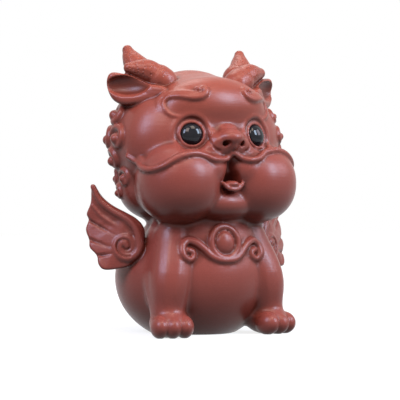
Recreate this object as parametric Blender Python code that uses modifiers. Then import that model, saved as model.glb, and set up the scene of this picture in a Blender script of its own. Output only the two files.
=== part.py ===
"""Seated winged lion, a tea pet of fired purple clay with two black glass eyes.

The figure is one hollow piece of clay, pressed and then modelled by hand, with a vent hole
under its foot. It faces -Y, its own left is +X, and it stands on z = 0. Values are in metres.
"""

import math

import bmesh
import bpy
import numpy as np
from mathutils import Euler, Matrix, Vector
from mathutils.bvhtree import BVHTree

# Head
SKULL_CENTRE = (0.0, 0.0033, 0.0675)
SKULL_RADII = (0.0308, 0.0193, 0.0252)
FOREHEAD_CENTRE = (0.0, -0.0050, 0.0825)
FOREHEAD_RADII = (0.0200, 0.0118, 0.0100)
CROWN_CENTRE = (0.0, 0.0105, 0.0750)
CROWN_RADII = (0.0220, 0.0160, 0.0198)
MANE_CENTRE = (0.0, 0.0105, 0.0685)
MANE_RADII = (0.0315, 0.0198, 0.0245)
NAPE_CENTRE = (0.0150, 0.0090, 0.0525)
NAPE_RADII = (0.0140, 0.0140, 0.0125)
MUZZLE_CENTRE = (0.0, -0.0085, 0.0665)
MUZZLE_RADII = (0.0150, 0.0130, 0.0070)
JOWL_CENTRE = (0.0150, -0.0076, 0.0535)
JOWL_RADII = (0.0147, 0.0160, 0.0142)
JOWL_FULLNESS = 2.2
JOWL_TURN_DEG = 12.0
CHEEK_CENTRE = (0.0078, -0.0118, 0.0580)
CHEEK_RADII = (0.0086, 0.0100, 0.0082)
CHEEK_TURN_DEG = 24.0
CHIN_CENTRE = (0.0, -0.0105, 0.0462)
CHIN_RADII = (0.0130, 0.0098, 0.0062)
MOUTH_PLACE = (0.0, -0.0215, 0.0543)
MOUTH_RADII = (0.0033, 0.0050, 0.0070)
LIP_CLEFT_PLACE = (0.0, -0.0215, 0.0585)
LIP_CLEFT_RADII = (0.0015, 0.0060, 0.0060)
NOSE_BULB_CENTRE = (0.0, -0.0174, 0.0692)
NOSE_BULB_RADII = (0.0050, 0.0060, 0.0042)
NOSE_WING_CENTRE = (0.0048, -0.0158, 0.0674)
NOSE_WING_RADII = (0.0030, 0.0044, 0.0028)
NOSE_BRIDGE_CENTRE = (0.0, -0.0140, 0.0724)
NOSE_BRIDGE_RADII = (0.0068, 0.0042, 0.0024)
NOSE_BRIDGE_TILT_DEG = -20.0
SEPTUM_CENTRE = (0.0, -0.0195, 0.0668)
SEPTUM_RADII = (0.0020, 0.0032, 0.0022)

# Body and front legs
NECK_CENTRE = (0.0, 0.0020, 0.0420)
NECK_RADII = (0.0180, 0.0150, 0.0080)
CHEST_CENTRE = (0.0, -0.0015, 0.0310)
CHEST_RADII = (0.0195, 0.0150, 0.0155)
BELLY_CENTRE = (0.0, 0.0040, 0.0195)
BELLY_RADII = (0.0245, 0.0225, 0.0225)
RUMP_CENTRE = (0.0, 0.0090, 0.0195)
RUMP_RADII = (0.0288, 0.0262, 0.0235)
SHOULDER = (0.0142, -0.0035, 0.0335)
SHOULDER_RADIUS = 0.0080
ELBOW = (0.0185, -0.0088, 0.0200)
ELBOW_RADIUS = 0.0074
ANKLE = (0.0200, -0.0095, 0.0095)
ANKLE_RADIUS = 0.0057
PAW_CENTRE = (0.0202, -0.0108, 0.0048)
PAW_RADII = (0.0068, 0.0080, 0.0052)
PAW_SPLAY_DEG = 15.0
TOE_RADII = (0.0031, 0.0048, 0.0047)
TOE_SPACING = 0.0046

# Horns
HORN_BASE = (0.0140, 0.0030, 0.0885)
HORN_COLLAR = (0.0182, 0.0043, 0.0916)
HORN_MIDDLE = (0.0216, 0.0052, 0.0934)
HORN_KNOB = (0.0268, 0.0068, 0.0941)
HORN_RADIUS = 0.0045
HORN_MIDDLE_RADIUS = 0.0041
HORN_KNOB_RADIUS = 0.0021
PRONG_ROOT = (0.0192, 0.0100, 0.0918)
PRONG_BEND = (0.0215, 0.0120, 0.0954)
PRONG_NECK = (0.0230, 0.0142, 0.0982)
PRONG_TIP = (0.0240, 0.0155, 0.1006)
PRONG_RADII = (0.0056, 0.0045, 0.0032, 0.0019)
COLLAR_RADIUS = 0.0047
COLLAR_WIDTH = 0.0019

# Ears, each drawn in an upright plane that leans back from the root
EAR_ROOT = (0.0195, -0.0013)
EAR_BEARING_DEG = 44.0
EAR_OUTLINE = (
    (-0.0030, 0.0872),
    (0.0040, 0.0884),
    (0.0092, 0.0908),
    (0.0136, 0.0922),
    (0.0171, 0.0924),
    (0.0186, 0.0900),
    (0.0182, 0.0863),
    (0.0163, 0.0828),
    (0.0128, 0.0810),
    (0.0080, 0.0810),
    (0.0020, 0.0822),
    (-0.0030, 0.0840),
)
EAR_THICKNESS = 0.0050
EAR_HOLLOW_CENTRE = (0.0104, 0.0872)
EAR_HOLLOW_RADII = (0.0086, 0.0040, 0.0033)

# Wings, each drawn in an upright plane that leans back from the root
WING_ROOT = (0.0215, 0.0005)
WING_BEARING_DEG = 34.5
WING_THICKNESS = 0.0032
WING_OUTLINE = (
    (0.0209, 0.0546),
    (0.0178, 0.0498),
    (0.0128, 0.0462),
    (0.0055, 0.0424),
    (0.0024, 0.0375),
    (0.0024, 0.0320),
    (0.0044, 0.0283),
    (0.0090, 0.0252),
    (0.0150, 0.0243),
    (0.0189, 0.0262),
    (0.0194, 0.0287),
    (0.0217, 0.0310),
    (0.0225, 0.0346),
    (0.0234, 0.0380),
    (0.0228, 0.0410),
    (0.0231, 0.0438),
    (0.0219, 0.0475),
    (0.0219, 0.0525),
)
WING_EDGE = (
    (0.0207, 0.0540),
    (0.0192, 0.0503),
    (0.0150, 0.0463),
    (0.0083, 0.0427),
    (0.0052, 0.0404),
)
WING_EDGE_RADIUS = 0.0018
SCROLL_CENTRE = (0.0085, 0.0326)
SCROLL_RADIUS = 0.0056
SCROLL_END_RADIUS = 0.0014
SCROLL_TURNS = 1.6
WING_BAND = ((0.0212, 0.0483), (0.0173, 0.0440), (0.0128, 0.0405), (0.0074, 0.0374), (0.0056, 0.0352))
FEATHER_LINES = (
    ((0.0230, 0.0411), (0.0195, 0.0392), (0.0112, 0.0360)),
    ((0.0224, 0.0344), (0.0181, 0.0331), (0.0138, 0.0327)),
    ((0.0200, 0.0291), (0.0165, 0.0293), (0.0132, 0.0300)),
)
FEATHER_LINE_WIDTH = 0.00055
FEATHER_LINE_DEPTH = 0.0007

# Face
NOSTRIL_PLACE = (0.0029, -0.0238, 0.0670)
NOSTRIL_RADII = (0.0014, 0.0011, 0.0044)
EYE_PLACE = (0.0127, 0.0702)
EYE_OUTWARD_DEG = 19.5
EYE_UPWARD_DEG = 12.0
EYE_RADIUS = 0.0038
EYELID_RADIUS = 0.0045
EYELID_ROLL = 0.0006
EYE_DISH_RADII = (0.0078, 0.0078, 0.0040)
EYE_DISH_DEPTH = 0.0013
BROW = (
    (0.0072, 0.0868),
    (0.0066, 0.0856),
    (0.0074, 0.0838),
    (0.0086, 0.0829),
    (0.0099, 0.0823),
    (0.0122, 0.0820),
    (0.0139, 0.0822),
    (0.0163, 0.0826),
    (0.0182, 0.0825),
    (0.0192, 0.0816),
    (0.0197, 0.0804),
    (0.0195, 0.0789),
    (0.0186, 0.0777),
    (0.0169, 0.0773),
)
BROW_RADIUS = 0.0010
BROW_SWELL_RADIUS = 0.0026
BROW_KNOB_PLACE = (0.0101, 0.0859)
BROW_KNOB_RADIUS = 0.0012
MOUSTACHE_RIGHT = (
    (1.0, 0.0641),
    (4.0, 0.0629),
    (10.5, 0.0613),
    (21.0, 0.0613),
    (29.3, 0.0624),
    (36.6, 0.0632),
    (44.3, 0.0625),
    (50.8, 0.0607),
    (56.0, 0.0588),
    (64.4, 0.0577),
    (73.9, 0.0584),
    (84.5, 0.0606),
    (93.0, 0.0628),
)
MOUSTACHE_LEFT = (
    (1.0, 0.0641),
    (4.4, 0.0634),
    (11.6, 0.0618),
    (17.1, 0.0612),
    (25.7, 0.0618),
    (34.7, 0.0635),
    (45.0, 0.0645),
    (54.0, 0.0641),
    (61.0, 0.0622),
    (67.0, 0.0598),
    (74.0, 0.0584),
    (84.5, 0.0598),
    (93.0, 0.0624),
)
MOUSTACHE_RADIUS = 0.0011
LOWER_LIP = ((0.0042, 0.0534), (0.0027, 0.0517), (0.0, 0.0510), (-0.0027, 0.0517), (-0.0042, 0.0534))
LOWER_LIP_REACH = -0.0206
LIP_RADIUS = 0.0009
TONGUE_CENTRE = (0.0, -0.0188, 0.0530)
TONGUE_RADII = (0.0028, 0.0028, 0.0013)

# Mane: rows of snail curls, each with its height, curl size and foremost bearing
MANE_ROWS = (
    (0.0845, 0.0040, 112.0),
    (0.0769, 0.0044, 104.0),
    (0.0691, 0.0044, 98.0),
    (0.0628, 0.0041, 98.0),
    (0.0563, 0.0036, 98.0),
    (0.0507, 0.0031, 100.0),
)
MANE_STEP_DEG = 16.0
CURL_TURNS = 0.95
# On its own left the mane comes one curl further forward: the bearing, height and size of each
FORWARD_CURLS = ((87.0, 0.0775, 0.0034), (85.0, 0.0705, 0.0038), (86.0, 0.0640, 0.0036))

# Chest ornament
GARLAND = (
    (0.0000, 0.0262),
    (0.0030, 0.0265),
    (0.0058, 0.0279),
    (0.0082, 0.0302),
    (0.0108, 0.0320),
    (0.0136, 0.0326),
    (0.0162, 0.0311),
    (0.0167, 0.0284),
    (0.0147, 0.0266),
    (0.0124, 0.0274),
    (0.0123, 0.0292),
    (0.0138, 0.0298),
)
GARLAND_RADIUS = 0.0012
MEDALLION_CENTRE = (0.0, 0.0326)
MEDALLION_RADIUS = 0.0052
BEAD_RADII = (0.0034, 0.0041)

# Glass eyes and the sockets that they are glued in
EYE_DOME = 0.0021
EYE_BACK = 0.0010
GLUE_GAP = 0.0003
EYE_PROUD = 0.0006

# Hollow inside, and the vent hole under the foot
WALL = 0.0052
VENT_RADIUS = 0.0060
VENT_Y = 0.0105

# How the clay is worked
COARSE_GRAIN = 0.0012
MIDDLE_GRAIN = 0.0008
FINE_GRAIN = 0.0005
HOLLOW_GRAIN = 0.0022
FIGURE_FACES = 9400
HOLLOW_FACES = 700

CLAY_COLOUR = (0.270, 0.085, 0.055, 1.0)
CLAY_ROUGHNESS = 0.45
GLASS_COLOUR = (0.006, 0.006, 0.008, 1.0)
GLASS_ROUGHNESS = 0.05


def start_clean():
    for thing in list(bpy.data.objects):
        bpy.data.objects.remove(thing)


def put(name, mesh, group=None):
    thing = bpy.data.objects.new(name, mesh)
    (group or bpy.context.scene.collection).objects.link(thing)
    return thing


def make_group(name):
    group = bpy.data.collections.get(name) or bpy.data.collections.new(name)
    if name not in bpy.context.scene.collection.children:
        bpy.context.scene.collection.children.link(group)
    return group


def make_material(name, colour, roughness):
    material = bpy.data.materials.new(name)
    material.use_nodes = True
    shader = material.node_tree.nodes["Principled BSDF"]
    shader.inputs["Base Color"].default_value = colour
    shader.inputs["Roughness"].default_value = roughness
    shader.inputs["Metallic"].default_value = 0.0
    return material


def settle(thing):
    """Replaces the object's mesh with what its modifiers make of it."""
    graph = bpy.context.evaluated_depsgraph_get()
    shaped = bpy.data.meshes.new_from_object(thing.evaluated_get(graph))
    thing.modifiers.clear()
    thing.data = shaped
    return thing


def lump(clay, centre, radii, turn=(0.0, 0.0, 0.0), fullness=2.0):
    """Adds one egg of clay. A fullness above 2 makes it squarer."""
    angles = Euler([math.radians(a) for a in turn])
    place = Matrix.LocRotScale(Vector(centre), angles, Vector(radii))
    fineness = 4 if max(radii) > 0.005 else 3 if max(radii) > 0.0018 else 2
    made = bmesh.ops.create_icosphere(clay, subdivisions=fineness, radius=1.0)
    for vert in made["verts"]:
        reach = sum(abs(c) ** fullness for c in vert.co) ** (1 / fullness)
        vert.co = place @ (vert.co / reach)


def mirrored(point):
    return Vector((-point[0], point[1], point[2]))


def lump_pair(clay, centre, radii, turn=(0.0, 0.0, 0.0), fullness=2.0):
    lump(clay, centre, radii, turn, fullness)
    lump(clay, mirrored(centre), radii, (turn[0], -turn[1], -turn[2]), fullness)


def bead(clay, centre, radii, normal):
    """Adds an egg whose third radius lies along the normal."""
    turn = Vector(normal).to_track_quat("Z", "Y")
    place = Matrix.LocRotScale(Vector(centre), turn, Vector(radii))
    bmesh.ops.create_icosphere(clay, subdivisions=3, radius=1.0, matrix=place)


def bead_pair(clay, centre, radii, normal):
    bead(clay, centre, radii, normal)
    bead(clay, mirrored(centre), radii, mirrored(normal))


def roll(clay, points, radii, both=True):
    """Adds a tapered roll of clay along the points, and its mirror image if both."""
    curve = bpy.data.curves.new("roll", "CURVE")
    curve.dimensions = "3D"
    curve.bevel_depth = 1.0
    curve.bevel_resolution = 4
    curve.use_fill_caps = True
    spline = curve.splines.new("POLY")
    spline.points.add(len(points) - 1)
    for knot, point, radius in zip(spline.points, points, radii):
        knot.co = (*point, 1.0)
        knot.radius = radius
    thing = put("roll", curve)
    graph = bpy.context.evaluated_depsgraph_get()
    mesh = bpy.data.meshes.new_from_object(thing.evaluated_get(graph))
    bpy.data.objects.remove(thing)
    for side in (1, -1) if both else (1,):
        copy = mesh.copy()
        copy.transform(Matrix.Diagonal((side, 1, 1, 1)))
        if side < 0:
            copy.flip_normals()
        clay.from_mesh(copy)
        for end in (0, -1):
            point = Vector(points[end])
            lump(clay, point if side > 0 else mirrored(point), (radii[end],) * 3)


def smooth_line(points, count):
    """Even steps along a smooth curve through the given points."""
    p = [Vector(q) for q in points]
    p = [2 * p[0] - p[1], *p, 2 * p[-1] - p[-2]]
    spans = len(p) - 3
    line = []
    for k in range(count):
        s = k / (count - 1) * spans
        i = min(int(s), spans - 1)
        t = s - i
        a, b, c, d = p[i : i + 4]
        bend = (2 * a - 5 * b + 4 * c - d) * t * t + (3 * b - a - 3 * c + d) * t**3
        line.append(0.5 * (2 * b + (c - a) * t + bend))
    return line


def smooth_values(values, count):
    return [p.x for p in smooth_line([(v, 0.0, 0.0) for v in values], count)]


def skin(clay, name, grain, rounds, core=None):
    """Joins the clay, and the core if there is one, under one skin and smooths it."""
    if core:
        clay.from_mesh(core.data)
        bpy.data.objects.remove(core)
    mesh = bpy.data.meshes.new(name)
    clay.to_mesh(mesh)
    clay.free()
    thing = put(name, mesh)
    remesh = thing.modifiers.new("skin", "REMESH")
    remesh.mode = "VOXEL"
    remesh.voxel_size = grain
    smooth = thing.modifiers.new("smooth", "SMOOTH")
    smooth.factor = 0.5
    smooth.iterations = rounds
    return settle(thing)


def tree_of(thing):
    clay = bmesh.new()
    clay.from_mesh(thing.data)
    tree = BVHTree.FromBMesh(clay)
    clay.free()
    return tree


def front(tree, x, z, proud=0.0):
    """The place on the front of the figure at this x and height, and its normal."""
    place, normal, _, _ = tree.ray_cast(Vector((x, -0.1, z)), Vector((0, 1, 0)))
    return place + normal * proud, normal


def around(tree, bearing, z, proud=0.0):
    """The place on the outside at this height and bearing (0 in front, 90 at the left side)."""
    a = math.radians(bearing)
    way = Vector((math.sin(a), -math.cos(a), 0.0))
    place, normal, _, _ = tree.ray_cast(Vector((0, 0, z)) + way * 0.1, -way)
    return place + normal * proud, normal


def press(figure, centre, radii, way):
    """Pushes an egg-shaped tool into the skin along the way, on both sides of the figure.

    Its radii lie across the way, up, and along the way.
    """
    count = len(figure.data.vertices)
    spots = np.empty(count * 3)
    figure.data.vertices.foreach_get("co", spots)
    spots = spots.reshape(-1, 3)
    angles = np.array(Vector(way).to_track_quat("Z", "Y").to_matrix())
    for side in (1, -1):
        flip = np.array((side, 1, 1))
        local = ((spots * flip - centre) @ angles) / radii
        push = (np.array(way) @ angles) / radii
        within = np.flatnonzero((local**2).sum(axis=1) < 1)
        a = push @ push
        b = local[within] @ push
        c = (local[within] ** 2).sum(axis=1) - 1
        travel = (-b + np.sqrt(b * b - a * c)) / a
        spots[within] += travel[:, None] * np.array(way) * flip
    figure.data.vertices.foreach_set("co", spots.ravel())
    figure.data.update()


def score(figure, line, width, depth):
    """Draws a groove (or a ridge, if the depth is negative) along the line, on both sides."""
    count = len(figure.data.vertices)
    spots = np.empty(count * 3)
    figure.data.vertices.foreach_get("co", spots)
    spots = spots.reshape(-1, 3)
    normals = np.empty(count * 3)
    figure.data.vertices.foreach_get("normal", normals)
    normals = normals.reshape(-1, 3)
    line = np.array([tuple(p) for p in line])
    for side in (1, -1):
        path = line * np.array((side, 1, 1))
        low, high = path.min(axis=0) - 3 * width, path.max(axis=0) + 3 * width
        near = np.flatnonzero(((spots > low) & (spots < high)).all(axis=1))
        gap = np.full(len(near), np.inf)
        for a, b in zip(path[:-1], path[1:]):
            span = b - a
            t = np.clip((spots[near] - a) @ span / (span @ span), 0, 1)
            gap = np.minimum(gap, np.linalg.norm(spots[near] - a - t[:, None] * span, axis=1))
        spots[near] -= normals[near] * (depth * np.exp(-((gap / width) ** 2)))[:, None]
    figure.data.vertices.foreach_set("co", spots.ravel())
    figure.data.update()


def work(figure):
    """Presses and scores what is drawn into the clay."""
    u, z = EAR_HOLLOW_CENTRE
    into = ear_point(0, 0, -1) - ear_point(0, 0)
    press(figure, ear_point(u, z, EAR_THICKNESS / 2 + 0.0006), EAR_HOLLOW_RADII, into)
    press(figure, NOSTRIL_PLACE, NOSTRIL_RADII, (0, 1, 0))
    for line in FEATHER_LINES:
        places = [wing_point(u, z, WING_THICKNESS / 2) for u, z in line]
        score(figure, smooth_line(places, 16), FEATHER_LINE_WIDTH, FEATHER_LINE_DEPTH)


def big_forms():
    clay = bmesh.new()
    lump(clay, SKULL_CENTRE, SKULL_RADII)
    lump(clay, FOREHEAD_CENTRE, FOREHEAD_RADII)
    lump(clay, CROWN_CENTRE, CROWN_RADII)
    lump(clay, MANE_CENTRE, MANE_RADII)
    lump_pair(clay, NAPE_CENTRE, NAPE_RADII)
    lump(clay, MUZZLE_CENTRE, MUZZLE_RADII)
    lump(clay, NECK_CENTRE, NECK_RADII)
    lump(clay, CHEST_CENTRE, CHEST_RADII)
    lump(clay, BELLY_CENTRE, BELLY_RADII)
    lump(clay, RUMP_CENTRE, RUMP_RADII)
    return skin(clay, "forms", COARSE_GRAIN, 16)


def legs_and_jowls(thing):
    clay = bmesh.new()
    lump_pair(clay, JOWL_CENTRE, JOWL_RADII, (0, 0, JOWL_TURN_DEG), JOWL_FULLNESS)
    lump_pair(clay, CHEEK_CENTRE, CHEEK_RADII, (0, CHEEK_TURN_DEG, 0))
    lump(clay, CHIN_CENTRE, CHIN_RADII)
    lump(clay, NOSE_BULB_CENTRE, NOSE_BULB_RADII)
    lump_pair(clay, NOSE_WING_CENTRE, NOSE_WING_RADII)
    lump(clay, NOSE_BRIDGE_CENTRE, NOSE_BRIDGE_RADII, (NOSE_BRIDGE_TILT_DEG, 0, 0))
    lump(clay, SEPTUM_CENTRE, SEPTUM_RADII)
    leg = smooth_line([SHOULDER, ELBOW, ANKLE], 9)
    roll(clay, leg, smooth_values([SHOULDER_RADIUS, ELBOW_RADIUS, ANKLE_RADIUS], 9))
    lump_pair(clay, PAW_CENTRE, PAW_RADII, (0, 0, PAW_SPLAY_DEG))
    return skin(clay, "forms", MIDDLE_GRAIN, 7, thing)


def toes(clay):
    turn = Matrix.Rotation(math.radians(PAW_SPLAY_DEG), 3, "Z")
    for k in (-1, 0, 1):
        reach = 0.0048 if k == 0 else 0.0040
        place = Vector(PAW_CENTRE) + turn @ Vector((k * TOE_SPACING, -reach, -0.0003))
        lump_pair(clay, place, TOE_RADII, (0, 0, PAW_SPLAY_DEG))


def horns(clay):
    beam = smooth_line([HORN_BASE, HORN_COLLAR, HORN_MIDDLE, HORN_KNOB], 16)
    roll(clay, beam, smooth_values([HORN_RADIUS, HORN_RADIUS, HORN_MIDDLE_RADIUS, HORN_KNOB_RADIUS], 16))
    prong = smooth_line([PRONG_ROOT, PRONG_BEND, PRONG_NECK, PRONG_TIP], 16)
    roll(clay, prong, smooth_values(PRONG_RADII, 16))
    base, next_point = Vector(HORN_BASE), Vector(HORN_COLLAR)
    along = (next_point - base).normalized()
    collar = [base.lerp(next_point, 0.55) + along * (COLLAR_WIDTH * t) for t in (-0.5, 0.5)]
    roll(clay, collar, [COLLAR_RADIUS] * 2)


def ear_point(out, height, ahead=0.0):
    a = math.radians(EAR_BEARING_DEG)
    x = EAR_ROOT[0] + out * math.cos(a) + ahead * math.sin(a)
    y = EAR_ROOT[1] + out * math.sin(a) - ahead * math.cos(a)
    return Vector((x, y, height))


def ears(clay):
    plate(clay, EAR_OUTLINE, EAR_THICKNESS, ear_point)


def wing_point(out, height, ahead=0.0):
    a = math.radians(WING_BEARING_DEG)
    x = WING_ROOT[0] + out * math.cos(a) + ahead * math.sin(a)
    y = WING_ROOT[1] + out * math.sin(a) - ahead * math.cos(a)
    return Vector((x, y, height))


def plate(clay, outline, thickness, place):
    """Adds a flat plate of clay with rounded edges, cut along a closed outline, and its mirror image."""
    curve = bpy.data.curves.new("plate", "CURVE")
    curve.dimensions = "2D"
    curve.fill_mode = "BOTH"
    curve.bevel_depth = thickness * 0.3
    curve.bevel_resolution = 3
    curve.offset = -thickness * 0.3
    curve.extrude = thickness * 0.2
    spline = curve.splines.new("POLY")
    line = smooth_line([*outline, outline[0]], 90)[:-1]
    spline.points.add(len(line) - 1)
    for knot, point in zip(spline.points, line):
        knot.co = (point.x, point.y, 0.0, 1.0)
    spline.use_cyclic_u = True
    thing = put("plate", curve)
    graph = bpy.context.evaluated_depsgraph_get()
    mesh = bpy.data.meshes.new_from_object(thing.evaluated_get(graph))
    bpy.data.objects.remove(thing)
    origin = place(0.0, 0.0)
    out = place(1.0, 0.0) - origin
    ahead = place(0.0, 0.0, 1.0) - origin
    frame = Matrix((out, Vector((0, 0, 1)), ahead)).transposed().to_4x4()
    frame.translation = origin
    mesh.transform(frame)
    for side in (1, -1):
        copy = mesh.copy()
        copy.transform(Matrix.Diagonal((side, 1, 1, 1)))
        if side < 0:
            copy.flip_normals()
        clay.from_mesh(copy)


def scroll(centre, start, end, turns, first_deg, count):
    points = []
    for k in range(count):
        t = k / (count - 1)
        a = math.radians(first_deg + 360 * turns * t)
        r = start + (end - start) * t**0.75
        points.append((centre[0] + r * math.cos(a), centre[1] + r * math.sin(a)))
    return points


def wings(clay):
    plate(clay, [(*p, 0.0) for p in WING_OUTLINE], WING_THICKNESS, wing_point)
    front_face = WING_THICKNESS / 2
    edge = list(WING_EDGE) + scroll(SCROLL_CENTRE, SCROLL_RADIUS, SCROLL_END_RADIUS, SCROLL_TURNS, 150, 22)
    path = smooth_line([wing_point(u, z, front_face - 0.0002) for u, z in edge], 120)
    r = WING_EDGE_RADIUS
    roll(clay, path, smooth_values([r * 0.6, r * 0.85, r, r, r * 0.9, r * 0.75, r * 0.6, r * 0.5], 120))
    band = smooth_line([wing_point(u, z, front_face - 0.0002) for u, z in WING_BAND], 30)
    roll(clay, band, smooth_values([0.0005, 0.0008, 0.0009, 0.0008, 0.0004], 30))


def eye_seat(tree):
    """The middle of the left eye's seat and the way that the eye looks."""
    x, z = EYE_PLACE
    out, up = math.radians(EYE_OUTWARD_DEG), math.radians(EYE_UPWARD_DEG)
    normal = Vector((math.sin(out) * math.cos(up), -math.cos(out) * math.cos(up), math.sin(up)))
    place, _ = front(tree, x, z)
    return place, normal


def eye_dishes(forms):
    """Sinks a shallow dish round each eye."""
    centre, normal = eye_seat(tree_of(forms))
    press(forms, centre + normal * (EYE_DISH_RADII[2] - EYE_DISH_DEPTH), EYE_DISH_RADII, -normal)


def ring_points(centre, normal, radius, count=40):
    turn = normal.to_track_quat("Z", "Y")
    points = []
    for k in range(count + 1):
        a = 2 * math.pi * k / count
        points.append(centre + turn @ Vector((radius * math.cos(a), radius * math.sin(a), 0)))
    return points


def eyelids(clay, tree):
    seat, normal = eye_seat(tree)
    roll(clay, ring_points(seat + normal * 0.0010, normal, EYELID_RADIUS), [EYELID_ROLL] * 41)
    roll(clay, ring_points(seat + normal * 0.0002, normal, EYELID_RADIUS), [EYELID_ROLL * 1.2] * 41)


def beside(line, away):
    """A flat line that keeps this far to the right of the line."""
    moved = []
    for k, (x, z) in enumerate(line):
        before, after = line[max(k - 1, 0)], line[min(k + 1, len(line) - 1)]
        way = Vector((after[0] - before[0], after[1] - before[1])).normalized()
        moved.append((x + way.y * away, z - way.x * away))
    return moved


def brows(clay, tree):
    """Each brow is a crisp roll with a broad swelling on its outer side, and a knob at its inner end."""
    r = BROW_RADIUS
    line = [front(tree, x, z, -0.0001)[0] for x, z in beside(BROW, -r * 0.9)]
    roll(clay, smooth_line(line, 80), smooth_values([r * 1.2, r * 1.2, r * 1.2, r * 1.1, r, r * 0.8, r * 0.5], 80))
    r = BROW_SWELL_RADIUS
    line = [front(tree, x, z, -r * 0.72)[0] for x, z in beside(BROW[2:], -r * 0.75)]
    roll(clay, smooth_line(line, 60), smooth_values([r * 0.8, r, r, r * 0.9, r * 0.5], 60))
    centre, normal = front(tree, *BROW_KNOB_PLACE)
    r = BROW_KNOB_RADIUS
    bead_pair(clay, centre, (r, r, r * 1.1), normal)


def moustache(clay, tree):
    """The two ends of the moustache differ a little. Each has a soft swelling above it."""
    r = MOUSTACHE_RADIUS
    for side, route in ((-1, MOUSTACHE_RIGHT), (1, MOUSTACHE_LEFT)):
        line = [around(tree, b * side, z, 0.0004)[0] for b, z in route]
        roll(clay, smooth_line(line, 90), smooth_values([r * 0.8, r, r, r * 1.1, r, r, r * 0.8], 90), both=False)
        line = [around(tree, b * side, z + 0.0017, -0.0016)[0] for b, z in route[1:]]
        roll(clay, smooth_line(line, 90), [0.0022] * 90, both=False)


def lip_and_tongue(clay):
    lip = [Vector((x, LOWER_LIP_REACH + abs(x) * 0.15, z)) for x, z in LOWER_LIP]
    roll(clay, smooth_line(lip, 24), [LIP_RADIUS] * 24, both=False)
    lump(clay, TONGUE_CENTRE, TONGUE_RADII)


def ornament(clay, tree):
    line = [front(tree, x, z, 0.0002)[0] for x, z in GARLAND]
    r = GARLAND_RADIUS
    roll(clay, smooth_line(line, 110), smooth_values([r, r, r * 1.1, r * 1.1, r, r * 0.9, r], 110))
    centre, normal = front(tree, *MEDALLION_CENTRE)
    ring = []
    for k in range(49):
        a = 2 * math.pi * k / 48
        x = MEDALLION_CENTRE[0] + MEDALLION_RADIUS * math.sin(a)
        z = MEDALLION_CENTRE[1] + MEDALLION_RADIUS * 1.05 * math.cos(a)
        ring.append(front(tree, x, z, 0.0001)[0])
    roll(clay, ring, [GARLAND_RADIUS] * 49, both=False)
    bead(clay, centre - normal * 0.0002, (*BEAD_RADII, 0.0019), normal)


def curl(clay, tree, bearing, z, size, both=True):
    """Adds a snail curl of the mane, and its mirror image if both."""
    centre, normal = around(tree, bearing, z)
    side = Vector((0, 0, 1)).cross(normal).normalized()
    rise = normal.cross(side)
    line = []
    for k in range(22):
        t = k / 21
        a = math.radians(20) + 2 * math.pi * CURL_TURNS * t
        r = size * (1 - 0.66 * t)
        probe = centre + side * (r * math.cos(a)) + rise * (r * math.sin(a)) + normal * 0.006
        hit, hit_normal, _, _ = tree.ray_cast(probe, -normal)
        line.append((hit if hit else centre) + (hit_normal if hit else normal) * 0.0002)
    roll(clay, smooth_line(line, 48), smooth_values([size * 0.2, size * 0.3, size * 0.26, size * 0.22], 48), both)
    middle = centre + normal * 0.0002
    radii = (size * 0.40, size * 0.40, size * 0.50)
    bead(clay, middle, radii, normal)
    if both:
        bead(clay, mirrored(middle), radii, mirrored(normal))


def mane(clay, tree):
    for row, (z, size, first) in enumerate(MANE_ROWS):
        steps = int((180 - first) / MANE_STEP_DEG + 0.5)
        for k in range(steps + 1):
            bearing = 180 - MANE_STEP_DEG * (k + 0.5 * (row % 2))
            if bearing >= first:
                curl(clay, tree, bearing, z, size, both=bearing < 180)
    for bearing, z, size in FORWARD_CURLS:
        curl(clay, tree, bearing, z, size, both=False)


def thinned(thing, faces):
    """Leaves about this many triangles, the most where the skin bends the most."""
    thing.data.transform(Matrix.Scale(1000, 4))
    triangles = sum(len(face.vertices) - 2 for face in thing.data.polygons)
    decimate = thing.modifiers.new("thin", "DECIMATE")
    decimate.ratio = faces / triangles
    decimate.use_collapse_triangulate = True
    settle(thing)
    thing.data.transform(Matrix.Scale(0.001, 4))
    return thing


def cut(thing, name, mesh, cutters):
    """Cuts the mesh out of the thing, and keeps it as a cutter."""
    cutter = put(name, mesh, cutters)
    cutter.hide_render = True
    cutter.display_type = "WIRE"
    knife = thing.modifiers.new(name, "BOOLEAN")
    knife.operation = "DIFFERENCE"
    knife.solver = "EXACT"
    knife.object = cutter
    return cutter


def floor_block():
    """What lies below the table, cut off so that the foot and paws are flat."""
    block = bmesh.new()
    bmesh.ops.create_cube(block, size=0.1, matrix=Matrix.Translation((0, 0, -0.05)))
    mesh = bpy.data.meshes.new("floor_block")
    block.to_mesh(mesh)
    block.free()
    return mesh


def hollow():
    """The hollow inside the pressed clay, one wall in from the big forms."""
    clay = bmesh.new()
    forms = (
        (SKULL_CENTRE, SKULL_RADII),
        (CROWN_CENTRE, CROWN_RADII),
        (NECK_CENTRE, NECK_RADII),
        (CHEST_CENTRE, CHEST_RADII),
        (BELLY_CENTRE, BELLY_RADII),
        (RUMP_CENTRE, RUMP_RADII),
    )
    for centre, radii in forms:
        lump(clay, centre, [r - WALL for r in radii])
    inner_neck = min(NECK_RADII[1], CHEST_RADII[1]) - WALL
    roll(clay, [Vector(CHEST_CENTRE), Vector(SKULL_CENTRE)], [inner_neck, inner_neck], both=False)
    return thinned(skin(clay, "hollow", HOLLOW_GRAIN, 4), HOLLOW_FACES)


def vent_pin():
    pin = bmesh.new()
    length = 4 * WALL
    place = Matrix.Translation((0, VENT_Y, 0))
    bmesh.ops.create_cone(
        pin, cap_ends=True, segments=32, radius1=VENT_RADIUS, radius2=VENT_RADIUS, depth=length, matrix=place
    )
    mesh = bpy.data.meshes.new("vent_pin")
    pin.to_mesh(mesh)
    pin.free()
    return mesh


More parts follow.
